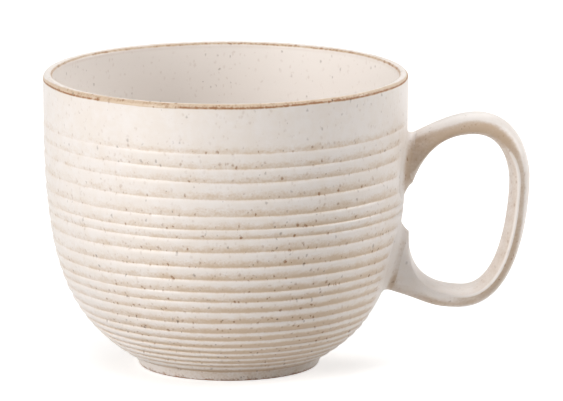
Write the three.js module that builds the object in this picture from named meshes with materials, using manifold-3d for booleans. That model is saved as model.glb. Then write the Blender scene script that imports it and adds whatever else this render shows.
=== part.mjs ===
// A stoneware cappuccino cup: a thrown bowl with finger ridges, and an ear-shaped strap handle
// luted to its wall with clay slip. Millimetres, +Z up, with the handle towards +X.

import * as THREE from 'three';
import { mergeVertices } from 'three/addons/utils/BufferGeometryUtils.js';
import Module from 'manifold-3d';

const wasm = await Module();
wasm.setup();

// Bowl
const RIM_DIAMETER = 100;
const CUP_HEIGHT = 81.2;
const LIP_THICKNESS = 2.6;
const WALL_THICKNESS = 3.4;
const FLOOR_THICKNESS = 4.6;

// The wall's outer curve leaves the foot towards the belly and ends upright below the lip.
const BELLY_INSET = 1.8;
const BELLY_HEIGHT = 15.5;
const SHOULDER_HEIGHT = 37;

// The inner curve thickens the wall below the lip and turns level on the floor.
const INNER_TURN_HEIGHT = 19.5;
const INNER_TURN_INSET = 9.5;

// Foot ring, turned from the bowl's own clay
const FOOT_DIAMETER = 50;
const FOOT_HEIGHT = 3;
const FOOT_STEP = 0.7;
const FOOT_TAPER = 0.3;
const FOOT_RING_WIDTH = 4.4;
const FOOT_RECESS = 1.6;
const FOOT_EDGE = 0.4;

// Finger ridges, evenly stepped along the wall's curve below a smooth band
const SMOOTH_BAND = 12;
const RIDGE_COUNT = 21;
const RIDGE_RELIEF = 0.4;
const RIDGE_FADE_COUNT = 4;
const CREST_BELOW_GROOVE = 0.25;

// Handle strap, an ear in the XZ plane
const HANDLE_REACH = 33.4;
const ARCH_HEIGHT = 69.9;
const BOTTOM_HEIGHT = 15.7;
const STRAP_THICKNESS = 5.6;
const STRAP_WIDTH = 15;

// Its outer and inner edges run smoothly through a few knots, from the upper neck round to the lower one.
// A neck stands off the wall and heads off at an angle in degrees. The arch and the bottom reach out from
// the rim's edge. Before and after a knot, its edge sets out along the knot's heading for these lengths.
const OUTER_UPPER_NECK = { standoff: 1.9, height: 64.4, heading: 26, after: 4.4 };
const OUTER_ARCH = { reach: 18.6, before: 5.8, after: 12.5 };
const OUTER_SIDE = { height: 52.4, before: 4.2, after: 5.1 };
const OUTER_BOTTOM = { reach: 13.7, before: 18.5, after: 7.7 };
const OUTER_LOWER_NECK = { standoff: 4, height: 19.9, heading: 163, before: 9 };
const INNER_UPPER_NECK = { standoff: 1.9, height: 50.6, heading: 70, after: 4 };
const INNER_ARCH = { reach: 18, before: 12.3, after: 8 };
const INNER_SIDE = { height: 51, before: 4, after: 5.7 };
const INNER_BOTTOM = { reach: 14.8, before: 11.1, after: 15.1 };
const INNER_LOWER_NECK = { standoff: 2.6, height: 36.6, heading: 90, before: 4 };

// Each root runs from its neck straight into the wall's line, then is trimmed to seat on the slip. Its
// outer edge keeps the neck's heading, and its inner edge falls back to the wall at a steeper slope.
const ROOT_SINK = 2.6;
const TIP_SLOPE = 42;
const UPPER_ROOT_WIDTH = 21;
const LOWER_ROOT_WIDTH = 19;
const ROOT_FLARE_LENGTH = 16;

// The section has a boxy outer face and a crowned inner one, which meet in a crest on each side, and it
// rounds off to an oval at the roots. The crest's level, from -1 at the inner face to 1 at the outer one,
// changes over shares of the strap.
const SHOULDER_SQUARENESS = 3;
const ROOT_CREST_LEVEL = -0.3;
const UPPER_CREST_LEVEL = -0.5;
const SIDE_CREST_LEVEL = -0.08;
const LOWER_CREST_LEVEL = -0.6;
const CREST_RISE = { from: 0.3, to: 0.43 };
const CREST_FALL = { from: 0.5, to: 0.68 };

// Luting slip between each root and the wall
const SLIP_LAYER = 0.9;
const SLIP_COLLAR = 2.4;
const SLIP_TIP = 1.2;
const SEAT_GAP = 0.1;

// Facets
const TURN_SEGMENTS = 48;
const BAND_STEPS = 3;
const LIP_STEPS = 6;
const INNER_STEPS = 14;
const STRAP_STEPS = 48;
const ROOT_STEPS = 6;
const SECTION_POINTS = 24;

// Sizes that follow from those above
const RIM_RADIUS = RIM_DIAMETER / 2;
const FOOT_RADIUS = FOOT_DIAMETER / 2;
const LIP_RADIUS = LIP_THICKNESS / 2;
const LIP_HEIGHT = CUP_HEIGHT - LIP_RADIUS;
const FLOOR_HEIGHT = FOOT_RECESS + FLOOR_THICKNESS;

const wallCurve = new THREE.CubicBezierCurve(
  new THREE.Vector2(FOOT_RADIUS + FOOT_STEP, FOOT_HEIGHT),
  new THREE.Vector2(RIM_RADIUS - BELLY_INSET, BELLY_HEIGHT),
  new THREE.Vector2(RIM_RADIUS, SHOULDER_HEIGHT),
  new THREE.Vector2(RIM_RADIUS, LIP_HEIGHT),
);

const innerCurve = new THREE.CubicBezierCurve(
  new THREE.Vector2(RIM_RADIUS - LIP_THICKNESS, LIP_HEIGHT),
  new THREE.Vector2(RIM_RADIUS - WALL_THICKNESS, INNER_TURN_HEIGHT),
  new THREE.Vector2(RIM_RADIUS - INNER_TURN_INSET, FLOOR_HEIGHT),
  new THREE.Vector2(0, FLOOR_HEIGHT),
);

// Share of the wall's curve, from the foot up, at which it reaches a height
function wallShareAt(height) {
  let low = 0;
  let high = 1;
  for (let step = 0; step < 40; step += 1) {
    const middle = (low + high) / 2;
    if (wallCurve.getPoint(middle).y < height) low = middle;
    else high = middle;
  }
  return low;
}

function wallRadiusAt(height) {
  return wallCurve.getPoint(wallShareAt(height)).x;
}

// A point of the wall's section, moved out square to the wall
function wallPoint(share, offset) {
  const tangent = wallCurve.getTangent(share);
  const outward = new THREE.Vector2(tangent.y, -tangent.x);
  return wallCurve.getPoint(share).addScaledVector(outward, offset);
}

// Outer wall from foot to lip: a groove under each ridge, its crest near the ridge's top, and a plain band
function ridgedWall(offset) {
  const points = [];
  const bandShare = wallShareAt(LIP_HEIGHT - SMOOTH_BAND);
  const step = bandShare / RIDGE_COUNT;
  for (let ridge = 0; ridge < RIDGE_COUNT; ridge += 1) {
    const fade = Math.min(1, (RIDGE_COUNT - ridge) / RIDGE_FADE_COUNT);
    const half = (RIDGE_RELIEF * fade) / 2;
    const crest = (ridge + 1 - CREST_BELOW_GROOVE) * step;
    points.push(wallPoint(ridge * step, offset - half));
    points.push(wallPoint(crest, offset + half));
  }
  for (let band = 0; band <= BAND_STEPS; band += 1) {
    const share = bandShare + ((1 - bandShare) * band) / BAND_STEPS;
    points.push(wallPoint(share, offset));
  }
  return points;
}

function footSection() {
  return [
    new THREE.Vector2(0, FOOT_RECESS),
    new THREE.Vector2(FOOT_RADIUS - FOOT_RING_WIDTH - FOOT_EDGE, FOOT_RECESS),
    new THREE.Vector2(FOOT_RADIUS - FOOT_RING_WIDTH, 0),
    new THREE.Vector2(FOOT_RADIUS - FOOT_EDGE, 0),
    new THREE.Vector2(FOOT_RADIUS, FOOT_EDGE),
    new THREE.Vector2(FOOT_RADIUS + FOOT_TAPER, FOOT_HEIGHT - FOOT_EDGE),
  ];
}

function lipSection() {
  const points = [];
  for (let step = 1; step < LIP_STEPS; step += 1) {
    const angle = (Math.PI * step) / LIP_STEPS;
    const radius = RIM_RADIUS - LIP_RADIUS + LIP_RADIUS * Math.cos(angle);
    points.push(new THREE.Vector2(radius, LIP_HEIGHT + LIP_RADIUS * Math.sin(angle)));
  }
  return points;
}

// A section turned about the cup's axis, with the axis stood up along Z
function turned(section) {
  const geometry = new THREE.LatheGeometry(section, TURN_SEGMENTS);
  geometry.rotateX(Math.PI / 2);
  return geometry;
}

function bowlGeometry() {
  const inside = innerCurve.getPoints(INNER_STEPS);
  return turned([...footSection(), ...ridgedWall(0), ...lipSection(), ...inside]);
}

// The space inside the wall's line, as a solid plug
function wallPlug(wall) {
  const bottom = new THREE.Vector2(0, wall[0].y);
  const top = new THREE.Vector2(0, wall[wall.length - 1].y);
  return solid(turned([bottom, ...wall, top]));
}

function smoothWall(offset) {
  const rows = 2 * RIDGE_COUNT + BAND_STEPS;
  const points = [];
  for (let row = 0; row <= rows; row += 1) points.push(wallPoint(row / rows, offset));
  return points;
}

// Closed geometry to a solid for joining and cutting, and back
function solid(geometry) {
  const bare = geometry.clone();
  bare.deleteAttribute('normal');
  bare.deleteAttribute('uv');
  const merged = mergeVertices(bare);
  const triangles = [];
  for (let corner = 0; corner < merged.index.count; corner += 3) {
    const [a, b, c] = merged.index.array.slice(corner, corner + 3);
    if (a !== b && b !== c && c !== a) triangles.push(a, b, c);
  }
  return new wasm.Manifold(new wasm.Mesh({
    numProp: 3,
    vertProperties: merged.attributes.position.array,
    triVerts: new Uint32Array(triangles),
  }));
}

function geometryOf(made) {
  const mesh = made.getMesh();
  const geometry = new THREE.BufferGeometry();
  geometry.setAttribute('position', new THREE.BufferAttribute(mesh.vertProperties, 3));
  geometry.setIndex(new THREE.BufferAttribute(mesh.triVerts, 1));
  geometry.computeVertexNormals();
  return geometry;
}

// A knot of an edge: its place, and the two places that steer the edge into it and out of it
function knot(x, height, heading, { before = 0, after = 0 }) {
  const place = new THREE.Vector3(x, 0, height);
  const angle = THREE.MathUtils.degToRad(heading);
  const along = new THREE.Vector3(Math.cos(angle), 0, Math.sin(angle));
  return {
    place,
    into: place.clone().addScaledVector(along, -before),
    outOf: place.clone().addScaledVector(along, after),
  };
}

function neckKnot(neck) {
  return knot(wallRadiusAt(neck.height) + neck.standoff, neck.height, neck.heading, neck);
}

// The end of a root inside the wall's line, down a slope in degrees from its neck
function rootEnd(neck, slope) {
  const depth = neck.standoff + ROOT_SINK;
  const drop = depth * Math.tan(THREE.MathUtils.degToRad(slope));
  return neckKnot(neck).place.add(new THREE.Vector3(-depth, 0, -drop));
}

// One edge from root to root: straight out of the wall, four smooth quarters, and straight back into it
function edgePieces(upperNeck, arch, side, bottom, lowerNeck, inset, upperSlope, lowerSlope) {
  const knots = [
    neckKnot(upperNeck),
    knot(RIM_RADIUS + arch.reach, ARCH_HEIGHT - inset, 0, arch),
    knot(RIM_RADIUS + HANDLE_REACH - inset, side.height, -90, side),
    knot(RIM_RADIUS + bottom.reach, BOTTOM_HEIGHT + inset, 180, bottom),
    neckKnot(lowerNeck),
  ];
  const pieces = [new THREE.LineCurve3(rootEnd(upperNeck, upperSlope), knots[0].place)];
  for (let next = 1; next < knots.length; next += 1) {
    const [from, to] = [knots[next - 1], knots[next]];
    pieces.push(new THREE.CubicBezierCurve3(from.place, from.outOf, to.into, to.place));
  }
  pieces.push(new THREE.LineCurve3(knots[knots.length - 1].place, rootEnd(lowerNeck, lowerSlope)));
  return pieces;
}

const outerPieces = edgePieces(
  OUTER_UPPER_NECK, OUTER_ARCH, OUTER_SIDE, OUTER_BOTTOM, OUTER_LOWER_NECK,
  0, OUTER_UPPER_NECK.heading, OUTER_LOWER_NECK.heading,
);
const innerPieces = edgePieces(
  INNER_UPPER_NECK, INNER_ARCH, INNER_SIDE, INNER_BOTTOM, INNER_LOWER_NECK,
  STRAP_THICKNESS, TIP_SLOPE, -TIP_SLOPE,
);
const NECK_SHARE = 1 / outerPieces.length;

// Point of an edge at a share that counts each of its pieces alike
function edgePoint(pieces, share) {
  const place = share * pieces.length;
  const piece = Math.min(Math.floor(place), pieces.length - 1);
  return pieces[piece].getPoint(place - piece);
}

function crestLevel(share) {
  const rise = THREE.MathUtils.smoothstep(share, CREST_RISE.from, CREST_RISE.to);
  const fall = THREE.MathUtils.smoothstep(share, CREST_FALL.from, CREST_FALL.to);
  const risen = THREE.MathUtils.lerp(UPPER_CREST_LEVEL, SIDE_CREST_LEVEL, rise);
  return THREE.MathUtils.lerp(risen, LOWER_CREST_LEVEL, fall);
}

// How far a point of the strap has gone over into its root: none along the loop, all of it at the wall
function flareAt(middle) {
  const fromWall = Math.max(0, middle.x - wallRadiusAt(middle.z));
  return Math.max(0, 1 - fromWall / ROOT_FLARE_LENGTH) ** 2;
}

// One ring of points round the strap, grown by a collar to the sides and by a tip outward and inward
function strapRing(share, collar, tip) {
  const outer = edgePoint(outerPieces, share);
  const inner = edgePoint(innerPieces, share);
  const middle = outer.clone().add(inner).multiplyScalar(0.5);
  const across = outer.clone().sub(middle);
  across.setLength(across.length() + tip);
  const flare = flareAt(middle);
  const rootWidth = share < 0.5 ? UPPER_ROOT_WIDTH : LOWER_ROOT_WIDTH;
  const halfWidth = THREE.MathUtils.lerp(STRAP_WIDTH, rootWidth, flare) / 2 + collar;
  const crest = THREE.MathUtils.lerp(crestLevel(share), ROOT_CREST_LEVEL, flare);
  const outerSquareness = THREE.MathUtils.lerp(SHOULDER_SQUARENESS, 2, flare);
  const innerRoundness = THREE.MathUtils.lerp(1, 1 / 2, flare);
  const ring = [];
  for (let point = 0; point < SECTION_POINTS; point += 1) {
    const angle = (2 * Math.PI * point) / SECTION_POINTS;
    const side = Math.sin(angle);
    const onOuterFace = point <= SECTION_POINTS / 4 || point >= (SECTION_POINTS * 3) / 4;
    const outerLevel = crest + (1 - crest) * Math.sqrt(1 - Math.abs(side) ** outerSquareness);
    const innerLevel = crest - (1 + crest) * (1 - side ** 2) ** innerRoundness;
    const spot = middle.clone().addScaledVector(across, onOuterFace ? outerLevel : innerLevel);
    spot.y += halfWidth * side;
    ring.push(spot);
  }
  return { middle, ring };
}

// A closed skin over rings of equal counts, with a fan of triangles over each end
function loft(rings) {
  const spots = rings.flatMap(({ ring }) => ring);
  const firstCap = spots.push(rings[0].middle) - 1;
  const lastCap = spots.push(rings[rings.length - 1].middle) - 1;
  const triangles = [];
  const lastRow = (rings.length - 1) * SECTION_POINTS;
  for (let point = 0; point < SECTION_POINTS; point += 1) {
    const next = (point + 1) % SECTION_POINTS;
    for (let row = 0; row < lastRow; row += SECTION_POINTS) {
      const [a, b] = [row + point, row + next];
      const [c, d] = [b + SECTION_POINTS, a + SECTION_POINTS];
      triangles.push(a, d, b, b, d, c);
    }
    triangles.push(firstCap, point, next);
    triangles.push(lastCap, lastRow + next, lastRow + point);
  }
  return new THREE.BufferGeometry().setFromPoints(spots).setIndex(triangles);
}

function strapBetween(first, last, steps, collar, tip) {
  const rings = [];
  for (let step = 0; step <= steps; step += 1) {
    rings.push(strapRing(first + ((last - first) * step) / steps, collar, tip));
  }
  return solid(loft(rings));
}

const slipFace = RIDGE_RELIEF / 2 + SLIP_LAYER;

function handleGeometry() {
  const strap = strapBetween(0, 1, STRAP_STEPS, 0, 0);
  return geometryOf(strap.subtract(wallPlug(smoothWall(slipFace + SEAT_GAP))));
}

// The slip fills the ridges under a root and shows round it as a low collar.
function slipSeamGeometry(first, last) {
  const spread = strapBetween(first, last, ROOT_STEPS, SLIP_COLLAR, SLIP_TIP);
  const layer = spread.intersect(wallPlug(smoothWall(slipFace)));
  return geometryOf(layer.subtract(wallPlug(ridgedWall(SEAT_GAP))));
}

function clay(color, roughness) {
  return new THREE.MeshStandardMaterial({ color, roughness, metalness: 0 });
}

function piece(name, geometry, material) {
  const mesh = new THREE.Mesh(geometry, material);
  mesh.name = name;
  return mesh;
}

// The cup stands with the middle of its footprint, handle included, at the origin.
const cup = new THREE.Group();
cup.position.x = -HANDLE_REACH / 2;
cup.add(piece('bowl', bowlGeometry(), clay(0xe2d8ce, 0.5)));
cup.add(piece('handle', handleGeometry(), clay(0xe0d4c9, 0.5)));
cup.add(piece('upper_slip_seam', slipSeamGeometry(0, NECK_SHARE), clay(0xe4dcd4, 0.55)));
cup.add(piece('lower_slip_seam', slipSeamGeometry(1 - NECK_SHARE, 1), clay(0xe4dcd4, 0.55)));

const part = new THREE.Group();
part.add(cup);

export default part;
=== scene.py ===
import math
from collections import namedtuple

import bmesh
import bpy
import numpy as np
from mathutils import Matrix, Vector


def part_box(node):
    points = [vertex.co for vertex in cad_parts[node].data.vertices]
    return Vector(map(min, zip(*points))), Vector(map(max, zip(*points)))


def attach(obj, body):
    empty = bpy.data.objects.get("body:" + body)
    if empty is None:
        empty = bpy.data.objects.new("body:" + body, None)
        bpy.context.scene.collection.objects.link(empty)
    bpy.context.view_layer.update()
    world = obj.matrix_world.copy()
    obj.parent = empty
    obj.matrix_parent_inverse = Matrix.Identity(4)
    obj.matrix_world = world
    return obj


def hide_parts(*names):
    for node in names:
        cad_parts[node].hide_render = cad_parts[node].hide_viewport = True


# A stoneware cappuccino cup with finger ridges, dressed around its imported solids.
# Shapes are worked out in millimetres with the cup's axis at x = 0, and go into the frame in metres.
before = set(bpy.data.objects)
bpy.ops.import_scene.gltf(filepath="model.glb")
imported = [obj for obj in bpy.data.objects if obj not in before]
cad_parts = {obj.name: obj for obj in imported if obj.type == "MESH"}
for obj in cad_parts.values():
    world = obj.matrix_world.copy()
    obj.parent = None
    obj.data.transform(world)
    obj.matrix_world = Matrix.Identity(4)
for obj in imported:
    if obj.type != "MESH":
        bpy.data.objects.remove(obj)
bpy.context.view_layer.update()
MM = 0.001

# Sizes read from the frame
bowl_low, bowl_high = (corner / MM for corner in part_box("bowl"))
handle_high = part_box("handle")[1] / MM
RIM_RADIUS = (bowl_high.y - bowl_low.y) / 2
CUP_HEIGHT = bowl_high.z
AXIS_X = bowl_low.x + RIM_RADIUS
HANDLE_REACH = handle_high.x - AXIS_X - RIM_RADIUS

# Bowl section
LIP_THICKNESS = 2.6
WALL_THICKNESS = 3.4
FLOOR_HEIGHT = 6.2
BELLY_INSET = 1.8
BELLY_HEIGHT = 15.5
SHOULDER_HEIGHT = 37
INNER_TURN_HEIGHT = 19.5
INNER_TURN_INSET = 9.5
FOOT_RADIUS = 24.7
FOOT_HEIGHT = 2.7
FOOT_STEP = 1.2
FOOT_TAPER = 1.1
FOOT_RING_WIDTH = 4.4
FOOT_RECESS = 1.6
FOOT_EDGE = 0.4
LIP_RADIUS = LIP_THICKNESS / 2
LIP_HEIGHT = CUP_HEIGHT - LIP_RADIUS

# The foot was turned a little off the rim's axis, towards the handle. The shift dies out up to this height.
FOOT_SHIFT = 0.75
FOOT_SHIFT_HEIGHT = 50

# Finger grooves by height, and the relief of the beads between them, which gets deeper towards the foot
GROOVE_HEIGHTS = [4.9, 6.4, 8.2, 10.1, 12.1, 14.5, 17.0, 20.0, 23.3, 26.3, 29.1,
                  32.6, 36.2, 40.4, 44.2, 46.8, 50.5, 55.3, 60.0, 63.8, 67.9]
RELIEF_HEIGHTS = [10, 38, 66]
RELIEFS = [0.42, 0.34, 0.19]

# A bead's crest and rows of points, as shares of its height down from the groove above it, and the power
# by which it falls off below the crest
BEAD_CREST = 0.25
BEAD_ROWS = [1, 0.96, 0.9, 0.8, 0.67, 0.53, 0.39, 0.25, 0.15, 0.08, 0.03]
BEAD_FALL = 1.7

# Height over which the last groove runs out into the plain band
BAND_FADE = 3.2

# Waves that make the beads uneven and let the grooves sway up and down. Each has its share, its count round
# the cup and the height in which it moves on by a radian. The sway comes in and goes out between heights.
RELIEF_WAVES = [(0.25, 3, 5), (0.15, 8, -3)]
SWAY_WAVES = [(1, 2, 9), (0.6, 3, -6), (0.35, 7, 4)]
GROOVE_SWAY = 0.13
SWAY_RISE = (4, 12)
SWAY_FALL = (66, 72)

# Beads are smoothed away round the handle's roots, over these shares of each root's reach with its collar
SMOOTHED_REACH = (0.85, 1.3)

# Faint throwing rings inside, which come in above the floor and go out below the lip
THROWING_RING_RELIEF = 0.05
THROWING_RING_PITCH = 6.5
THROWING_RING_RISE = (FLOOR_HEIGHT + 3, FLOOR_HEIGHT + 12)
THROWING_RING_FALL = (68, 76)

# Glaze is described by how thin it lies: 0 is plain cream, 1 is tan, and below 0 it is a whiter cream that
# is painted light where a surface should look brighter. In places the tan is painted shade as well.
# How thin it lies on the beads by height, rising towards the foot partly as painted shade under the belly,
# where the tan starts and is full down a bead, which is partly painted shade on the bead's down-turned
# lower part, and the tan just below a groove, which is painted shade in the groove
THIN_HEIGHTS = [5, 20, 45, 68]
THIN_AND_SHADE_BY_HEIGHT = [1.6, 1.08, 0.88, 0.66]
BEAD_TAN_HEIGHTS = [5, 25, 45]
BEAD_TAN_START = [0, 0.05, 0.1]
BEAD_TAN_FULL = [0.8, 0.95, 1.05]
GROOVE_TAN = 0.7
GROOVE_TAN_FADE = (0, 0.16)

# The foot's tan, and the height over which its bare clay goes under the glaze
FOOT_TAN = 0.45
FOOT_BARE_FADE = (0.15, 0.7)

# The tan is strongest on two opposite sides, at this turn from the handle, one of them the front's shaded
# right side, where it is partly painted shade. Halfway between them the tan keeps this share, so the lit
# front left is paler as painted light.
SHADED_SIDE_TURN = math.radians(300)
LIT_SIDE_TAN_SHARE = 0.55

# Stripes along the rim, by degrees from outward over the lip's top to inward: where each starts, is full,
# begins to fade and ends. A bare line runs outside, with a tan stripe that is wider in front and bare in
# part there. A paler tan covers the lip's top, and a brown line runs inside it. Below that the inside is
# painted whiter, as painted light where less light reaches into the bowl. Rows of the foot count as off
# the lip, where no stripe reaches.
BARE_LINE = (-13, -3, 4, 24)
LIP_TAN = (-22, -4, 20, 45)
FRONT_LIP_TAN = (-22, -4, 55, 100)
FRONT_BARE = (4, 24, 40, 80)
FRONT_BARE_SHARE = 0.55
TOP_TAN = (20, 60, 110, 150)
TOP_TAN_SHARE = 0.3
INNER_LINE = (110, 138, 148, 170)
INNER_LINE_TAN = 0.9
INNER_LINE_BARE = 0.65
PAINTED_LIGHT_INSIDE = (165, 220)
OFF_LIP = -360

# The front side of the rim, by how far it faces the front
FRONT_FACING = (0, 0.7)

# Degrees that the bare line climbs the lip towards the handle, and that it wanders in waves, each with a
# count round the cup and a phase. The inner line wanders in waves of one count.
LIP_DRIFT = 12
LIP_WANDER = 3
LIP_WAVES = [(5, 0), (11, 1)]
INNER_LINE_WAVES = 7

# The bare line is worn faint round this turn from the handle, between two cosines of the turn away from it
WORN_LIP_TURN = math.radians(241)
WORN_LIP_SPREAD = (0.955, 0.99)
WORN_SHARE = 0.6

# Handle
STRAP_THICKNESS = 5.6
STRAP_WIDTH = 15
ROOT_FLARE_LENGTH = 16
ARCH_HEIGHT = 69.9
BOTTOM_HEIGHT = 15.7

# Its two edges in the cup's XZ plane, from the upper neck round to the lower one. Each knot has its reach
# out from the rim's edge, its height, its heading in degrees, and how far the edge follows that heading
# before and after it.
Knot = namedtuple("Knot", "reach height heading before after")
OUTER_KNOTS = [
    Knot(1.8, 64.4, 26, 0, 4.4),
    Knot(18.6, ARCH_HEIGHT, 0, 5.8, 12.5),
    Knot(HANDLE_REACH, 52.4, -90, 4.2, 5.1),
    Knot(13.7, BOTTOM_HEIGHT, 180, 18.5, 7.7),
    Knot(-3.5, 19.9, 163, 9, 0),
]
INNER_KNOTS = [
    Knot(1.2, 50.6, 70, 0, 4),
    Knot(18, ARCH_HEIGHT - STRAP_THICKNESS, 0, 12.3, 8),
    Knot(HANDLE_REACH - STRAP_THICKNESS, 51, -90, 4, 5.7),
    Knot(14.8, BOTTOM_HEIGHT + STRAP_THICKNESS, 180, 11.1, 15.1),
    Knot(0.3, 36.6, 90, 4, 0),
]

# Each end runs from its neck straight into the wall: the outer edge keeps the neck's heading, and the inner
# edge falls back to the wall at a slope in degrees.
ROOT_SINK = 2
TIP_SLOPE = 42

# Section of the strap: a boxy outer face with soft shoulders and a crowned inner face, which meet in a
# crest on each side and round off to an oval at the roots, and in part above and below. The crest's level
# goes from -1 at the inner face to 1 at the outer one, and changes over shares of the strap.
SHOULDER_SQUARENESS = 3
OVAL_SQUARENESS = 2
PART_OVAL = 0.7
ROOT_CREST_LEVEL = -0.3
UPPER_CREST_LEVEL = -0.5
SIDE_CREST_LEVEL = -0.08
LOWER_CREST_LEVEL = -0.6
CREST_ROUNDNESS = 0.7
CREST_RISE = (0.35, 0.47)
CREST_FALL = (0.59, 0.69)

# Zones of the strap's glaze, as shares of the strap over which each one comes in. The upper root goes out.
UPPER_ROOT_FADE = (0.16, 0.3)
STRAP_ZONES = {
    "below_arch": (0.38, 0.46),
    "crest": (0.4, 0.47),
    "low_side": (0.52, 0.6),
    "underneath": (0.62, 0.72),
    "lower_root": (0.7, 0.82),
}

# How thin the glaze lies on the strap, as a sum of what each zone adds. The strap's tan is partly glaze
# breaking thin and partly painted shade on faces turned from the light: the sides below the arch and low
# down, the underneath, the upper root in the bowl's shade and the inner face under the arch. On the outer
# face the tan starts part of the way out to each side, further in at the upper root, and is full near the
# side. Underneath, it lies along the middle instead and fades from part of the way out. On the inner face
# underneath and at the lower root the sum falls below 0, a whiter cream painted there as painted light.
SIDE_TAN = {"all": 1, "upper_root": -0.2, "below_arch": -0.3, "low_side": 0.18}
SIDE_TAN_EDGE = {"all": 0.6, "below_arch": 0.24, "low_side": -0.34}
SIDE_TAN_FULL = 0.96
UPPER_ROOT_WIDENING = 0.35
UNDER_TAN = {"all": 0.9, "lower_root": -0.3}
UNDER_TAN_EDGE = {"all": 0.8, "lower_root": -0.35}
INNER_TAN = {"all": 0.75, "upper_root": -0.15, "below_arch": -0.32, "underneath": -0.8, "lower_root": -0.2}

# A painted highlight along the crest, in whiter cream, as a line on each face by how far out to the side it
# lies
OUTER_CREST_LINE = (0.996, 1)
INNER_CREST_LINE = (0.93, 0.98)

# Painted shade as tan in the crease near the wall, in millimetres off it, which is deeper at the lower
# root's outer tip as a painted shadow
CREASE_REACH = (1, 5)
CREASE_TAN = 0.15
CREASE_TIP_TAN = 0.65
CREASE_TIP_FACING = (0.3, 0.7)

# The handle's roots: the neck's place among the knots, the width, how far the slip collar spreads on the
# wall at the root's tips and at its sides, the collar's tan at its sides and at its outer tip, which is
# partly painted shade where the collar lies in the root's shade, and the shares of the way out over which
# that tan fades
Root = namedtuple("Root", "neck width spread side_tan tip_tan tan_fade")
UPPER_ROOT = Root(neck=0, width=21, spread=(2.8, 5), side_tan=0.95, tip_tan=0, tan_fade=(0.25, 0.95))
LOWER_ROOT = Root(neck=-1, width=19, spread=(2.6, 5.5), side_tan=0.45, tip_tan=0.8, tan_fade=(0.1, 0.8))

# Slip collars, at the root's tips and at its sides: how high each climbs the strap and how high it rolls up
# on the wall. A collar's edge sinks into the wall, and shares say how long its fillet follows the strap and
# the wall. Facings say where its sides and its outer tip begin and are full.
COLLAR_HEIGHT = (2.2, 2.4)
COLLAR_ROLL = (0, 1.5)
COLLAR_SINK = 0.35
FILLET_LEAVE = 0.8
FILLET_LAND = 0.55
COLLAR_SIDE_FACING = (0.2, 0.9)
COLLAR_TIP_FACING = (0.3, 0.8)

# Pieces of the strap's edges along which a collar is traced
COLLAR_TRACE = 1.6

# Fineness of the meshes, with the power that crowds the rows inside the bowl towards the lip
COLUMNS = 192
CORNER_STEPS = 6
BAND_ROWS = 40
LIP_ROWS = 36
INNER_ROWS = 64
INNER_CROWDING = 1.3
WALL_SAMPLES = 4001
STRAP_ROWS = 180
STRAP_COLUMNS = 120
ROOT_ROWS = 60
COLLAR_ROWS = 18

# Glaze colours, in 0 to 255 steps
# The whiter cream is painted light: inside the bowl, along the handle's crest and on its lit inner face.
PAINTED_LIGHT_CREAM = (241, 234, 228)
CREAM = (236, 228, 222)
CREAM_WARM = (233, 223, 214)
TAN = (200, 171, 137)
# The handle's grey tan is partly glaze and partly painted shade on the strap's shaded faces.
GREY_TAN = (194, 170, 146)
BARE_CLAY = (156, 112, 78)
FRECKLE = (150, 108, 72)
SPECK = (94, 60, 34)

# Looks of the bowl's glaze and of the one on the handle and its slip: the tan, how ragged its edges are,
# how strong it is and how strong the specks are
BOWL_LOOK = (TAN, 0.8, 0.8, 0.95)
HANDLE_LOOK = (GREY_TAN, 0.5, 1, 0.7)

# Noise in the glaze, with a scale per millimetre and a detail. Blotches are drawn out round the cup.
TO_MM = (1000, 1000, 1000)
TO_DRAWN_OUT_MM = (450, 450, 1000)
CLOUD = (0.07, 2)
MOTTLE = (0.45, 3)
GRAIN = (1.6, 4)
BLOTCH = (0.5, 3)
NOISE_ROUGHNESS = 0.6

# What the noise does: tan comes in over a range of thinness, which blotches and grain make ragged about a
# middle. Clay shows in crumbs, cream warms in clouds, and the satin surface is rougher on clay.
GRAIN_IN_TAN = 0.9
RAGGED_MIDDLE = 0.95
TAN_RANGE = (0.12, 1.02)
GRAIN_IN_CLAY = 1.4
CLAY_RANGE = (1.65, 2.25)
WARM_RANGE = (0.75, 1.25)
PAINTED_LIGHT_RANGE = (-1, 0)
SATIN = (0.3, 0.7, 0.32, 0.44)
CLAY_ROUGHNESS = 0.3
GLOSS = 0.4
BUMP_STRENGTH = 0.35
BUMP_DISTANCE = 0.06 * MM

# Iron specks, and finer freckles that gather in drifts: the size of a cell, the largest radius and the
# share of the cells. Both show more where the glaze lies thin. They are taller than wide, and shaken out of
# shape.
SPECKS = (2, 0.57, 0.7)
SPECKS_IN_THIN = (0.1, 1.2, 0.36, 1)
FRECKLES = (1.2, 0.58, 0.9)
FRECKLES_IN_THIN = (0.1, 0.8, 0.17, 1)
FRECKLE_DRIFTS = (0.8, 1.15, 0.45, 1)
SPECK_CORE = 0.3
SPECK_STRETCH = (1, 1, 0.68)
SHAKE_SCALE = 1.1
SHAKE = (0.9, 0.9, 0.9)

# Floor and world, in metres and shares of white
FLOOR_SIZE = 8
FLOOR_SHADE = 0.72
FLOOR_GLOW = 0.6
FLOOR_ROUGHNESS = 0.9
WORLD_FILL = 0.05
WHITE = (1, 1, 1, 1)

# Lamps: each one's azimuth to the right of the camera and its elevation, in degrees, its size in metres and
# its power in watts
LAMP_DISTANCE = 1.5
LAMPS = {
    "key_light": (-48, 18, 0.9, 16),
    "front_light": (-20, 66, 0.9, 7.8),
    "side_light": (100, 30, 1.0, 15.2),
    "back_light": (180, 40, 0.9, 4.8),
}

# Camera, at the photograph's angle, in metres, with a long lens and its sensor in millimetres
CAMERA_AIM = Vector((-1.42, 0, 45.24)) * MM
CAMERA_DISTANCE = 1.8
CAMERA_ELEVATION = math.radians(11.3)
CAMERA_LENS = 418.87
CAMERA_SENSOR = 36


# Curves and blends

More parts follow.
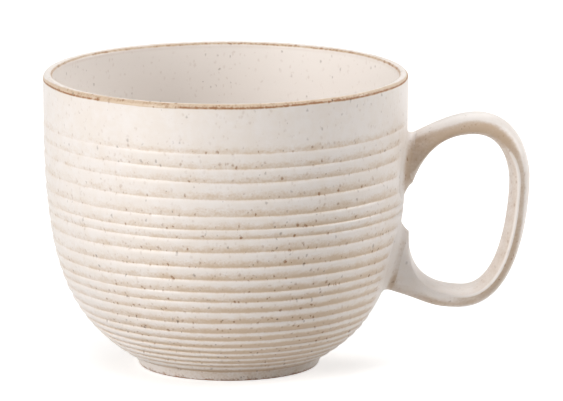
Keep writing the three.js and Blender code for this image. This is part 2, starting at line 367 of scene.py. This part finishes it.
def bezier(points, share):
    """Points on a cubic Bezier curve"""
    a, b, c, d = (np.asarray(point, float) for point in points)
    t = np.asarray(share, float)[..., None]
    return a * (1 - t) ** 3 + 3 * b * t * (1 - t) ** 2 + 3 * c * t**2 * (1 - t) + d * t**3


def bezier_heading(points, share):
    """Unit tangents of a cubic Bezier curve"""
    a, b, c, d = (np.asarray(point, float) for point in points)
    t = np.asarray(share, float)[..., None]
    along = (b - a) * (1 - t) ** 2 + 2 * (c - b) * t * (1 - t) + (d - c) * t**2
    return along / np.linalg.norm(along, axis=-1, keepdims=True)


def ease(value, low, high):
    """Smooth step from 0 at low to 1 at high"""
    t = np.clip((np.asarray(value, float) - low) / (high - low), 0, 1)
    return t * t * (3 - 2 * t)


def fade(value, low, high):
    """Smooth step from 1 at low to 0 at high"""
    return 1 - ease(value, low, high)


def between(ends, share):
    """A value that goes from the first end to the second"""
    return ends[0] + (ends[1] - ends[0]) * share


# Meshes

def closed_faces(rows, columns):
    """Faces over rings of points, with a fan to a pole at each end"""
    index = np.arange(rows * columns).reshape(rows, columns)
    beside = np.roll(index, -1, axis=1)
    quads = np.stack([index[:-1], beside[:-1], beside[1:], index[1:]], axis=-1).reshape(-1, 4)
    first_pole = rows * columns
    last_pole = first_pole + 1
    first_fan = [(first_pole, b, a) for a, b in zip(index[0], beside[0])]
    last_fan = [(last_pole, a, b) for a, b in zip(index[-1], beside[-1])]
    return [*quads.tolist(), *first_fan, *last_fan]


def skin(name, rings, first_pole, last_pole, thin, bare):
    """A closed smooth piece over rings of points and two poles, with its glaze described on its points"""
    rows, columns, _ = rings.shape
    spots = np.vstack([rings.reshape(-1, 3), [first_pole, last_pole]])
    spots[:, 0] += AXIS_X
    mesh = bpy.data.meshes.new(name)
    mesh.from_pydata((spots * MM).tolist(), [], closed_faces(rows, columns))
    shell = bmesh.new()
    shell.from_mesh(mesh)
    bmesh.ops.recalc_face_normals(shell, faces=shell.faces)
    shell.to_mesh(mesh)
    shell.free()
    mesh.shade_smooth()
    at_poles = [0, 0]
    for field, values in {"thin_glaze_and_painted_light": thin, "bare_clay": bare}.items():
        layer = mesh.attributes.new(field, "FLOAT", "POINT")
        layer.data.foreach_set("value", np.append(values.ravel(), at_poles).astype(np.float32))
    piece = bpy.data.objects.new(name, mesh)
    bpy.context.scene.collection.objects.link(piece)
    return piece


# Outer and inner lines of the wall

WALL_CURVE = [
    (FOOT_RADIUS + FOOT_STEP, FOOT_HEIGHT),
    (RIM_RADIUS - BELLY_INSET, BELLY_HEIGHT),
    (RIM_RADIUS, SHOULDER_HEIGHT),
    (RIM_RADIUS, LIP_HEIGHT),
]
INNER_CURVE = [
    (RIM_RADIUS - LIP_THICKNESS, LIP_HEIGHT),
    (RIM_RADIUS - WALL_THICKNESS, INNER_TURN_HEIGHT),
    (RIM_RADIUS - INNER_TURN_INSET, FLOOR_HEIGHT),
    (0, FLOOR_HEIGHT),
]
SAMPLE_SHARES = np.linspace(0, 1, WALL_SAMPLES)
SAMPLE_HEIGHTS = bezier(WALL_CURVE, SAMPLE_SHARES)[:, 1]


def wall_at(height):
    """Radius of the plain wall at a height, and its outward direction as (radial, upward)"""
    share = np.interp(height, SAMPLE_HEIGHTS, SAMPLE_SHARES)
    along = bezier_heading(WALL_CURVE, share)
    return bezier(WALL_CURVE, share)[..., 0], np.stack([along[..., 1], -along[..., 0]], axis=-1)


def foot_shift(height):
    """How far the bowl's section stands off the rim's axis at a height"""
    return FOOT_SHIFT * np.clip(1 - np.asarray(height) / FOOT_SHIFT_HEIGHT, 0, 1) ** 2


def off_wall(spots):
    """How far points lie outside the plain wall, level with it"""
    radius, _ = wall_at(spots[..., 2])
    return np.hypot(spots[..., 0] - foot_shift(spots[..., 2]), spots[..., 1]) - radius


def on_wall(spots):
    """Points set level onto the plain wall, and the wall's outward directions there"""
    height = spots[:, 2]
    radius, outward = wall_at(height)
    shift = foot_shift(height)
    turn = np.arctan2(spots[:, 1], spots[:, 0] - shift)
    set_spots = np.stack([radius * np.cos(turn) + shift, radius * np.sin(turn), height], axis=-1)
    radial, upward = outward.T
    return set_spots, np.stack([radial * np.cos(turn), radial * np.sin(turn), upward], axis=-1)


# Bowl: rows of the section, from the middle of the underside round to the middle of the floor inside.
# Each row has a radius, a height, a relief along an outward direction, how thin its glaze lies, which on
# the beads also carries painted shade, how bare it is, and its place on the lip: degrees from outward over
# the top to inward, which carry on down both walls.

def row(radius, height, relief=0, outward=(0, 0), thin=0, bare=0, lip=OFF_LIP):
    return (radius, height, relief, *outward, thin, bare, lip)


def below_lip(height):
    """A height under the lip, as degrees of the lip's own turn"""
    return math.degrees((LIP_HEIGHT - height) / LIP_RADIUS)


def rounded(points, radius):
    """An outline with each inner corner rounded off by a small curve"""
    points = [np.asarray(point, float) for point in points]
    line = [points[0]]
    for before, corner, after in zip(points, points[1:], points[2:]):
        start = corner + (before - corner) * min(0.5, radius / np.linalg.norm(before - corner))
        end = corner + (after - corner) * min(0.5, radius / np.linalg.norm(after - corner))
        for t in np.linspace(0, 1, CORNER_STEPS):
            line.append(start * (1 - t) ** 2 + 2 * corner * t * (1 - t) + end * t**2)
    return [*line, points[-1]]


def foot_rows():
    """The underside and the foot ring, up to the start of the wall"""
    ring_inside = FOOT_RADIUS - FOOT_RING_WIDTH
    outline = rounded([
        (ring_inside / 2, FOOT_RECESS),
        (ring_inside - FOOT_EDGE, FOOT_RECESS),
        (ring_inside, 0),
        (FOOT_RADIUS, 0),
        (FOOT_RADIUS + FOOT_TAPER, FOOT_HEIGHT - FOOT_EDGE / 2),
        (FOOT_RADIUS + FOOT_STEP, FOOT_HEIGHT),
    ], FOOT_EDGE)
    rows = []
    for radius, height in outline[:-1]:
        on_ring = radius > ring_inside - FOOT_EDGE
        bare = fade(height, *FOOT_BARE_FADE) if on_ring else 0
        rows.append(row(radius, height, thin=FOOT_TAN, bare=bare))
    return rows


def wall_row(height, share, tan_share):
    """A row of the outer wall, with a share of the relief and of the tan that belong to its height"""
    radius, outward = wall_at(height)
    relief = share * np.interp(height, RELIEF_HEIGHTS, RELIEFS)
    thin = tan_share * np.interp(height, THIN_HEIGHTS, THIN_AND_SHADE_BY_HEIGHT)
    return row(radius, height, relief, outward, thin, lip=-below_lip(height))


def bead_rows(low, high):
    """A bead from the groove below it up to just under the next one, its crest near the top"""
    rows = []
    for down in BEAD_ROWS:
        height = high - down * (high - low)
        if down < BEAD_CREST:
            share = 0.5 - (1 - down / BEAD_CREST) ** 2
        else:
            share = 0.5 - ((down - BEAD_CREST) / (1 - BEAD_CREST)) ** BEAD_FALL
        # Tan down a bead's lower part and just below its groove is partly painted shade, where it turns
        # down and in the groove.
        start = np.interp(height, BEAD_TAN_HEIGHTS, BEAD_TAN_START)
        full = np.interp(height, BEAD_TAN_HEIGHTS, BEAD_TAN_FULL)
        below_groove = GROOVE_TAN * fade(down, *GROOVE_TAN_FADE)
        rows.append(wall_row(height, share, max(below_groove, ease(down, start, full))))
    return rows


def band_rows(low):
    """The plain band from the last groove up to the lip"""
    rows = []
    for t in np.linspace(0, 1, BAND_ROWS, endpoint=False):
        height = LIP_HEIGHT - (LIP_HEIGHT - low) * (1 - t) ** 2
        above_groove = (height - low) / BAND_FADE
        share = -0.5 * (1 - min(1, above_groove)) ** 2
        rows.append(wall_row(height, share, fade(above_groove, 0, 1)))
    return rows


def lip_rows():
    """Half a turn over the lip, from outward over the top to inward"""
    rows = []
    for degrees in np.linspace(0, 180, LIP_ROWS):
        angle = math.radians(degrees)
        radius = RIM_RADIUS - LIP_RADIUS + LIP_RADIUS * math.cos(angle)
        height = LIP_HEIGHT + LIP_RADIUS * math.sin(angle)
        rows.append(row(radius, height, lip=degrees))
    return rows


def inner_rows():
    """The inside, from below the lip to the floor"""
    rows = []
    shares = np.linspace(0, 1, INNER_ROWS, endpoint=False)[1:] ** INNER_CROWDING
    places = bezier(INNER_CURVE, shares)
    for (radius, height), along in zip(places, bezier_heading(INNER_CURVE, shares)):
        inward = (along[1], -along[0])
        ring = math.sin(2 * math.pi * height / THROWING_RING_PITCH)
        calm = ease(height, *THROWING_RING_RISE) * fade(height, *THROWING_RING_FALL)
        relief = THROWING_RING_RELIEF * ring * calm
        rows.append(row(radius, height, relief, inward, lip=180 + below_lip(height)))
    return rows


def bowl_rows():
    rows = foot_rows()
    edges = [FOOT_HEIGHT, *GROOVE_HEIGHTS]
    for low, high in zip(edges, edges[1:]):
        rows += bead_rows(low, high)
    return rows + band_rows(GROOVE_HEIGHTS[-1]) + lip_rows() + inner_rows()


def left_as_thrown(turn, radius, height):
    """1 where the beads stand as thrown, falling to 0 where slip was smoothed round the handle's roots"""
    aside = radius * np.minimum(turn, 2 * math.pi - turn)
    left = 1
    for root in (UPPER_ROOT, LOWER_ROOT):
        outer_neck = OUTER_KNOTS[root.neck].height
        inner_neck = INNER_KNOTS[root.neck].height
        side_spread = root.spread[1]
        half_height = abs(outer_neck - inner_neck) / 2 + side_spread
        along = (height - (outer_neck + inner_neck) / 2) / half_height
        away = np.hypot(aside / (root.width / 2 + side_spread), along)
        left = left * ease(away, *SMOOTHED_REACH)
    return left


def waves(kinds, turn, height):
    """The sum of waves round the cup"""
    return sum(share * np.sin(count * turn + height / rise) for share, count, rise in kinds)


def stripe(degrees, start, full, fading, end):
    """A soft stripe along the rim between places on the lip"""
    return ease(degrees, start, full) * fade(degrees, fading, end)


def lip_glaze(turn, lip):
    """How thin the glaze lies along the rim, the inside whiter as painted light, and how bare the clay is
    """
    wander = LIP_WANDER * sum(np.sin(count * turn + phase) for count, phase in LIP_WAVES)
    on_lip = lip - (LIP_DRIFT * (1 + np.cos(turn)) + wander)
    front = ease(-np.sin(turn), *FRONT_FACING)
    worn = WORN_SHARE * ease(np.cos(turn - WORN_LIP_TURN), *WORN_LIP_SPREAD)
    inner_line = stripe(lip - LIP_WANDER * np.sin(INNER_LINE_WAVES * turn), *INNER_LINE)
    outer_tan = stripe(on_lip, *(between(ends, front) for ends in zip(LIP_TAN, FRONT_LIP_TAN)))
    tan = np.maximum(outer_tan + INNER_LINE_TAN * inner_line, TOP_TAN_SHARE * stripe(lip, *TOP_TAN))
    bare_line = (1 - worn) * stripe(on_lip, *BARE_LINE)
    bare_front = FRONT_BARE_SHARE * front * stripe(on_lip, *FRONT_BARE)
    # The inside below the lip is whiter, as painted light.
    return tan - ease(lip, *PAINTED_LIGHT_INSIDE), bare_line + bare_front + INNER_LINE_BARE * inner_line


def make_bowl():
    radius, height, relief, radial, upward, thin, bare, lip = np.array(bowl_rows(), float).T[:, :, None]
    turn = np.linspace(0, 2 * math.pi, COLUMNS, endpoint=False)[None, :]
    thrown = left_as_thrown(turn, radius, height)
    out = relief * (1 + waves(RELIEF_WAVES, turn, height)) * thrown
    ridged = (relief != 0) * ease(height, *SWAY_RISE) * fade(height, *SWAY_FALL)
    slide = GROOVE_SWAY * waves(SWAY_WAVES, turn, height) * ridged
    reach = np.minimum(RIM_RADIUS, radius + out * radial - slide * upward)
    level = height + out * upward + slide * radial
    across = reach * np.cos(turn) + foot_shift(level)
    rings = np.stack([across, reach * np.sin(turn), level], axis=-1)
    # The tan is paler on the lit front left as painted light and fuller on the shaded front right as
    # painted shade.
    tan_by_lit_side = between((LIT_SIDE_TAN_SHARE, 1), np.cos(turn - SHADED_SIDE_TURN) ** 2)
    lip_tan_and_inside_light, lip_bare = lip_glaze(turn, lip)
    under = (foot_shift(FOOT_RECESS), 0, FOOT_RECESS)
    floor = (foot_shift(FLOOR_HEIGHT), 0, FLOOR_HEIGHT)
    return skin("thrown_bowl", rings, under, floor, thin * tan_by_lit_side * thrown + lip_tan_and_inside_light, bare + lip_bare)


# Handle: each edge is a straight run out of the wall, four smooth quarters and a straight run back into it

def root_end(neck, slope):
    """Where an edge ends inside the wall, on a straight run from its neck"""
    depth = neck[0] - wall_at(neck[1])[0] + ROOT_SINK
    return neck - depth * np.array([1, math.tan(math.radians(slope))])


def edge_pieces(knots, first_slope, last_slope):
    """The Bezier pieces of one edge from root to root"""
    places = [np.array([RIM_RADIUS + knot.reach, knot.height]) for knot in knots]
    angles = [math.radians(knot.heading) for knot in knots]
    headings = [np.array([math.cos(angle), math.sin(angle)]) for angle in angles]
    first = root_end(places[0], first_slope)
    last = root_end(places[-1], last_slope)
    pieces = [(first, first, places[0], places[0])]
    for after in range(1, len(knots)):
        before = after - 1
        leave = places[before] + headings[before] * knots[before].after
        arrive = places[after] - headings[after] * knots[after].before
        pieces.append((places[before], leave, arrive, places[after]))
    return [*pieces, (places[-1], places[-1], last, last)]


OUTER_PIECES = edge_pieces(OUTER_KNOTS, OUTER_KNOTS[0].heading, OUTER_KNOTS[-1].heading)
INNER_PIECES = edge_pieces(INNER_KNOTS, TIP_SLOPE, -TIP_SLOPE)
SECTION_ANGLES = np.linspace(0, 2 * math.pi, STRAP_COLUMNS, endpoint=False)
ON_OUTER_FACE = np.cos(SECTION_ANGLES) >= 0
TO_SIDE = np.sin(SECTION_ANGLES)


def along_pieces(pieces, shares):
    """Points of an edge in the XZ plane, at shares that count each piece alike"""
    spots = []
    for place in shares * len(pieces):
        piece = min(int(place), len(pieces) - 1)
        spots.append(bezier(pieces[piece], place - piece))
    flat = np.array(spots)
    return np.stack([flat[:, 0], np.zeros(len(flat)), flat[:, 1]], axis=-1)


def crest_level(shares):
    rise = (SIDE_CREST_LEVEL - UPPER_CREST_LEVEL) * ease(shares, *CREST_RISE)
    fall = (SIDE_CREST_LEVEL - LOWER_CREST_LEVEL) * ease(shares, *CREST_FALL)
    return UPPER_CREST_LEVEL + rise - fall


def section_levels(shares, flare):
    """How far out each point of each ring lies, from -1 on the inner edge to 1 on the outer one"""
    crest = between((crest_level(shares)[:, None], ROOT_CREST_LEVEL), flare)
    along_side = ease(shares, *CREST_RISE) * fade(shares, *CREST_FALL)
    oval = np.maximum(flare, PART_OVAL * (1 - along_side[:, None]))
    squareness = between((SHOULDER_SQUARENESS, OVAL_SQUARENESS), oval)
    outer_rise = np.sqrt(np.maximum(0, 1 - np.abs(TO_SIDE) ** squareness))
    inner_rise = np.maximum(0, 1 - TO_SIDE**2) ** (1 - np.maximum(oval, CREST_ROUNDNESS) / 2)
    return np.where(ON_OUTER_FACE, crest + (1 - crest) * outer_rise, crest - (1 + crest) * inner_rise)


def strap_rings(shares):
    """Rings of points round the strap, which widens to its roots"""
    outer = along_pieces(OUTER_PIECES, shares)
    inner = along_pieces(INNER_PIECES, shares)
    middle = (outer + inner) / 2
    across = (outer - inner) / 2
    from_wall = np.maximum(0, middle[:, 0] - wall_at(middle[:, 2])[0])
    flare = np.maximum(0, 1 - from_wall / ROOT_FLARE_LENGTH)[:, None] ** 2
    root_width = np.where(shares < 0.5, UPPER_ROOT.width, LOWER_ROOT.width)[:, None]
    half_width = between((STRAP_WIDTH, root_width), flare) / 2
    levels = section_levels(shares, flare)
    rings = middle[:, None, :] + across[:, None, :] * levels[:, :, None]
    rings[:, :, 1] += half_width * TO_SIDE
    return rings


def strap_zones(shares):
    """How far each ring of the strap lies in each zone"""
    zones = {"all": np.ones_like(shares), "upper_root": fade(shares, *UPPER_ROOT_FADE)}
    for zone, ends in STRAP_ZONES.items():
        zones[zone] = ease(shares, *ends)
    return {zone: values[:, None] for zone, values in zones.items()}


def by_zone(zones, amounts):
    """A value along the strap, as the sum of what each zone adds"""
    return sum(amount * zones[zone] for zone, amount in amounts.items())


def strap_tan_and_painted_light(shares, rings):
    """How thin the glaze lies on the strap, its tan partly painted shade and its whiter cream painted light
    """
    zones = strap_zones(shares)
    underneath = zones["underneath"]
    side = np.abs(TO_SIDE)
    widened = side + UPPER_ROOT_WIDENING * zones["upper_root"]
    # Tan on the sides and underneath is partly painted shade on faces turned from the light.
    side_tan = by_zone(zones, SIDE_TAN) * ease(widened, by_zone(zones, SIDE_TAN_EDGE), SIDE_TAN_FULL)
    under_tan = by_zone(zones, UNDER_TAN) * fade(side, by_zone(zones, UNDER_TAN_EDGE), 1)
    outer_tan = between((side_tan, under_tan), underneath)
    # The inner face is tan as painted shade under the arch, and whiter cream as painted light low down.
    face_tan = np.where(ON_OUTER_FACE, outer_tan, by_zone(zones, INNER_TAN))
    lower_tip = ease(np.cos(SECTION_ANGLES), *CREASE_TIP_FACING) * underneath
    # Painted shade in the crease by the wall, deepest at the lower root's outer tip as a painted shadow.
    crease = fade(off_wall(rings), *CREASE_REACH) * (CREASE_TAN + CREASE_TIP_TAN * lower_tip)
    # A painted highlight along the crest, in whiter cream.
    crest_line = np.where(ON_OUTER_FACE, ease(side, *OUTER_CREST_LINE), ease(side, *INNER_CREST_LINE))
    on_crest = zones["crest"] * (1 - underneath) * crest_line
    return np.maximum(crease, face_tan) * (1 - on_crest) - on_crest


def make_handle():
    shares = np.linspace(0, 1, STRAP_ROWS)
    rings = strap_rings(shares)
    thin = strap_tan_and_painted_light(shares, rings)
    upper_end = rings[0].mean(axis=0)
    lower_end = rings[-1].mean(axis=0)
    return skin("strap_handle", rings, upper_end, lower_end, thin, np.zeros_like(thin))


# Slip collars: a hollow fillet at each root's tips, and at its sides a tan valley inside a pale low roll,
# where the tan of the valley and of the lower tip is partly painted shade

ROOT_SHARES = np.linspace(0, COLLAR_TRACE / len(OUTER_PIECES), ROOT_ROWS)


def crossing(rings, clear, heights):
    """Where each line along the strap first reaches its height off the wall"""
    places = np.arange(len(rings))
    spots = []
    for column in range(STRAP_COLUMNS):
        place = np.interp(heights[column], clear[:, column], places)
        spots.append([np.interp(place, places, rings[:, column, axis]) for axis in range(3)])
    return np.array(spots)


def make_collar(name, root, shares):
    rings = strap_rings(shares)
    clear = np.maximum.accumulate(off_wall(rings), axis=0)
    to_side = ease(np.abs(TO_SIDE), *COLLAR_SIDE_FACING)
    start = crossing(rings, clear, between(COLLAR_HEIGHT, to_side))
    foot, normals = on_wall(crossing(rings, clear, np.zeros(STRAP_COLUMNS)))
    away = foot - foot.mean(axis=0)
    away -= normals * np.sum(away * normals, axis=1, keepdims=True)
    away /= np.linalg.norm(away, axis=1, keepdims=True)
    spread = away * between(root.spread, to_side)[:, None]
    edge, normals = on_wall(foot + spread)
    end = edge - normals * COLLAR_SINK
    leave = start + (foot - start) * FILLET_LEAVE
    arrive = end - spread * FILLET_LAND + normals * between(COLLAR_ROLL, to_side)[:, None]
    outward = np.linspace(0, 1, COLLAR_ROWS)
    lines = bezier([points[:, None] for points in (start, leave, arrive, end)], outward)
    to_tip = ease(np.cos(SECTION_ANGLES), *COLLAR_TIP_FACING)
    # The collar's tan is partly painted shade, where it lies in the root's shade.
    thin = fade(outward, *root.tan_fade)[:, None] * (root.side_tan * to_side + root.tip_tan * to_tip)
    fillet = np.swapaxes(lines, 0, 1)
    return skin(name, fillet, start.mean(axis=0), end.mean(axis=0), thin, np.zeros_like(thin))


# Glaze

def srgb(colour):
    """A colour in 0 to 255 steps, as light"""
    steps = np.array(colour) / 255
    light = np.where(steps <= 0.04045, steps / 12.92, ((steps + 0.055) / 1.055) ** 2.4)
    return (*light, 1)


class Glaze:
    """A material with short calls for the nodes that it is made of"""

    def __init__(self, name):
        self.material = bpy.data.materials.new(name)
        self.material.use_nodes = True
        self.tree = self.material.node_tree
        self.shader = self.tree.nodes["Principled BSDF"]

    def feed(self, socket, value):
        """Link a node's output to a socket, or set a constant on it"""
        if isinstance(value, bpy.types.NodeSocket):
            self.tree.links.new(value, socket)
        else:
            socket.default_value = value

    def node(self, kind, inputs, output=0, **settings):
        made = self.tree.nodes.new(kind)
        for setting, value in settings.items():
            setattr(made, setting, value)
        for socket, value in inputs.items():
            self.feed(made.inputs[socket], value)
        return made.outputs[output]

    def add(self, a, b):
        return self.node("ShaderNodeMath", {0: a, 1: b}, operation="ADD")

    def times(self, a, b):
        return self.node("ShaderNodeMath", {0: a, 1: b}, operation="MULTIPLY")

    def ease(self, value, low, high, at_low=0, at_high=1):
        inputs = {"Value": value, "From Min": low, "From Max": high, "To Min": at_low, "To Max": at_high}
        return self.node("ShaderNodeMapRange", inputs, interpolation_type="SMOOTHSTEP")

    def mix(self, share, a, b):
        """A mix of two colours, which a mix node keeps on its inputs 6 and 7 and gives on output 2"""
        return self.node("ShaderNodeMix", {0: share, 6: a, 7: b}, 2, data_type="RGBA")

    def scaled(self, vector, scale):
        return self.node("ShaderNodeVectorMath", {0: vector, 1: scale}, operation="MULTIPLY")

    def moved(self, vector, offset):
        return self.node("ShaderNodeVectorMath", {0: vector, 1: offset}, operation="ADD")

    def noise(self, vector, scale, detail):
        inputs = {"Vector": vector, "Scale": scale, "Detail": detail, "Roughness": NOISE_ROUGHNESS}
        return self.node("ShaderNodeTexNoise", inputs)

    def cloudy(self, vector, scale):
        """A soft noise in three directions"""
        return self.node("ShaderNodeTexNoise", {"Vector": vector, "Scale": scale, "Detail": 1}, "Color")

    def attribute(self, name):
        return self.node("ShaderNodeAttribute", {}, "Fac", attribute_name=name)

    def specks(self, vector, cell, radius, share):
        """Specks of mixed sizes up to a radius, in a share of the cells, in millimetres"""
        cells = {"Vector": vector, "Scale": 1 / cell}
        far = self.node("ShaderNodeTexVoronoi", cells, "Distance")
        chance = self.node("ShaderNodeTexVoronoi", cells, "Color")
        size = self.ease(chance, 1 - share, 1, 0, radius / cell)
        return self.ease(far, self.times(size, SPECK_CORE), size, 1, 0)


def glaze(name, tan, ragged, tan_strength, speck_strength):
    """Satin cream glaze, tan where thin and as painted shade, whiter as painted light, brown iron specks,
    bare clay lines
    """
    g = Glaze(name)
    place = g.node("ShaderNodeTexCoord", {}, "Object")
    spot = g.scaled(place, TO_MM)
    cloud = g.noise(spot, *CLOUD)
    mottle = g.noise(spot, *MOTTLE)
    grain = g.noise(spot, *GRAIN)
    blotch = g.noise(g.scaled(place, TO_DRAWN_OUT_MM), *BLOTCH)
    clouds = g.add(cloud, mottle)
    thin = g.attribute("thin_glaze_and_painted_light")
    bare = g.attribute("bare_clay")

    uneven = g.add(g.add(blotch, g.times(grain, GRAIN_IN_TAN)), -RAGGED_MIDDLE)
    ragged_thin = g.add(thin, g.times(uneven, ragged))
    broken = g.times(g.ease(ragged_thin, *TAN_RANGE), tan_strength)
    crumbs = g.add(mottle, g.times(grain, GRAIN_IN_CLAY))
    clay = g.ease(g.add(bare, crumbs), *CLAY_RANGE)
    shaken = g.moved(spot, g.scaled(g.cloudy(spot, SHAKE_SCALE), SHAKE))
    tall = g.scaled(shaken, SPECK_STRETCH)
    specks = g.times(g.specks(tall, *SPECKS), g.ease(thin, *SPECKS_IN_THIN))
    freckle_share = g.times(g.ease(thin, *FRECKLES_IN_THIN), g.ease(clouds, *FRECKLE_DRIFTS))
    freckles = g.times(g.specks(tall, *FRECKLES), freckle_share)

    clouded = g.mix(g.ease(clouds, *WARM_RANGE), srgb(CREAM), srgb(CREAM_WARM))
    # Below 0 the cream turns whiter, as painted light.
    cream = g.mix(g.ease(thin, *PAINTED_LIGHT_RANGE), srgb(PAINTED_LIGHT_CREAM), clouded)
    tinted = g.mix(broken, cream, srgb(tan))
    lined = g.mix(clay, tinted, srgb(BARE_CLAY))
    freckled = g.mix(g.times(freckles, speck_strength), lined, srgb(FRECKLE))
    specked = g.mix(g.times(specks, speck_strength), freckled, srgb(SPECK))
    satin = g.ease(grain, *SATIN)
    bump = {"Strength": BUMP_STRENGTH, "Distance": BUMP_DISTANCE, "Height": grain}
    g.feed(g.shader.inputs["Base Color"], specked)
    g.feed(g.shader.inputs["Specular IOR Level"], GLOSS)
    g.feed(g.shader.inputs["Roughness"], g.add(satin, g.times(clay, CLAY_ROUGHNESS)))
    g.feed(g.shader.inputs["Normal"], g.node("ShaderNodeBump", bump))
    return g.material


# Floor, light and camera

def seen_or_mirrored(tree):
    """1 where the camera looks and in reflections, and 0 for the rest of the light"""
    path = tree.nodes.new("ShaderNodeLightPath")
    seen = tree.nodes.new("ShaderNodeMath")
    seen.operation = "MAXIMUM"
    tree.links.new(path.outputs["Is Camera Ray"], seen.inputs[0])
    tree.links.new(path.outputs["Is Glossy Ray"], seen.inputs[1])
    return seen.outputs[0]


def floor_material():
    material = bpy.data.materials.new("pale_floor")
    material.use_nodes = True
    tree = material.node_tree
    shader = tree.nodes["Principled BSDF"]
    shader.inputs["Base Color"].default_value = (FLOOR_SHADE, FLOOR_SHADE, FLOOR_SHADE, 1)
    shader.inputs["Roughness"].default_value = FLOOR_ROUGHNESS
    shader.inputs["Specular IOR Level"].default_value = 0
    shader.inputs["Emission Color"].default_value = WHITE
    glow = tree.nodes.new("ShaderNodeMath")
    glow.operation = "MULTIPLY"
    glow.inputs[1].default_value = FLOOR_GLOW
    tree.links.new(seen_or_mirrored(tree), glow.inputs[0])
    tree.links.new(glow.outputs[0], shader.inputs["Emission Strength"])
    return material


def make_floor():
    """A pale floor that the camera sees as white, with the cup's soft shadow on it"""
    half = FLOOR_SIZE / 2
    corners = [(-half, -half, 0), (half, -half, 0), (half, half, 0), (-half, half, 0)]
    mesh = bpy.data.meshes.new("floor")
    mesh.from_pydata(corners, [], [(0, 1, 2, 3)])
    mesh.materials.append(floor_material())
    floor = bpy.data.objects.new("floor", mesh)
    bpy.context.scene.collection.objects.link(floor)


def make_world():
    """White to the camera and in reflections, and a low even fill otherwise"""
    world = bpy.data.worlds.new("studio")
    world.use_nodes = True
    tree = world.node_tree
    background = tree.nodes["Background"]
    background.inputs["Color"].default_value = WHITE
    strength = tree.nodes.new("ShaderNodeMapRange")
    strength.inputs["To Min"].default_value = WORLD_FILL
    strength.inputs["To Max"].default_value = 1
    tree.links.new(seen_or_mirrored(tree), strength.inputs["Value"])
    tree.links.new(strength.outputs[0], background.inputs["Strength"])
    bpy.context.scene.world = world


def soft_box(name, azimuth, elevation, size, power):
    """A square lamp that faces the cup's middle and that the camera doesn't see"""
    lamp = bpy.data.lights.new(name, "AREA")
    lamp.shape = "SQUARE"
    lamp.size = size
    lamp.energy = power
    holder = bpy.data.objects.new(name, lamp)
    aim = Vector((AXIS_X * MM, 0, CUP_HEIGHT * MM / 2))
    turn = math.radians(azimuth)
    rise = math.radians(elevation)
    away = Vector((math.sin(turn) * math.cos(rise), -math.cos(turn) * math.cos(rise), math.sin(rise)))
    holder.location = aim + away * LAMP_DISTANCE
    holder.rotation_euler = (-away).to_track_quat("-Z", "Y").to_euler()
    holder.visible_camera = False
    bpy.context.scene.collection.objects.link(holder)


def make_camera():
    camera = bpy.data.objects.new("camera", bpy.data.cameras.new("camera"))
    camera.data.lens = CAMERA_LENS
    camera.data.sensor_width = CAMERA_SENSOR
    back = Vector((0, -math.cos(CAMERA_ELEVATION), math.sin(CAMERA_ELEVATION)))
    camera.location = CAMERA_AIM + back * CAMERA_DISTANCE
    camera.rotation_euler = (-back).to_track_quat("-Z", "Y").to_euler()
    bpy.context.scene.collection.objects.link(camera)
    bpy.context.scene.camera = camera


# The dressed cup in its studio

def finish_piece(piece, material, node):
    piece.data.materials.append(material)
    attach(piece, "root")
    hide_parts(node)


bowl_glaze = glaze("bowl_glaze", *BOWL_LOOK)
handle_glaze = glaze("handle_glaze", *HANDLE_LOOK)
slip_glaze = glaze("slip_glaze", *HANDLE_LOOK)
finish_piece(make_bowl(), bowl_glaze, "bowl")
finish_piece(make_handle(), handle_glaze, "handle")
upper_collar = make_collar("upper_collar", UPPER_ROOT, ROOT_SHARES)
lower_collar = make_collar("lower_collar", LOWER_ROOT, 1 - ROOT_SHARES)
finish_piece(upper_collar, slip_glaze, "upper_slip_seam")
finish_piece(lower_collar, slip_glaze, "lower_slip_seam")

make_floor()
make_world()
for name, settings in LAMPS.items():
    soft_box(name, *settings)
make_camera()
bpy.context.scene.view_settings.view_transform = "Standard"
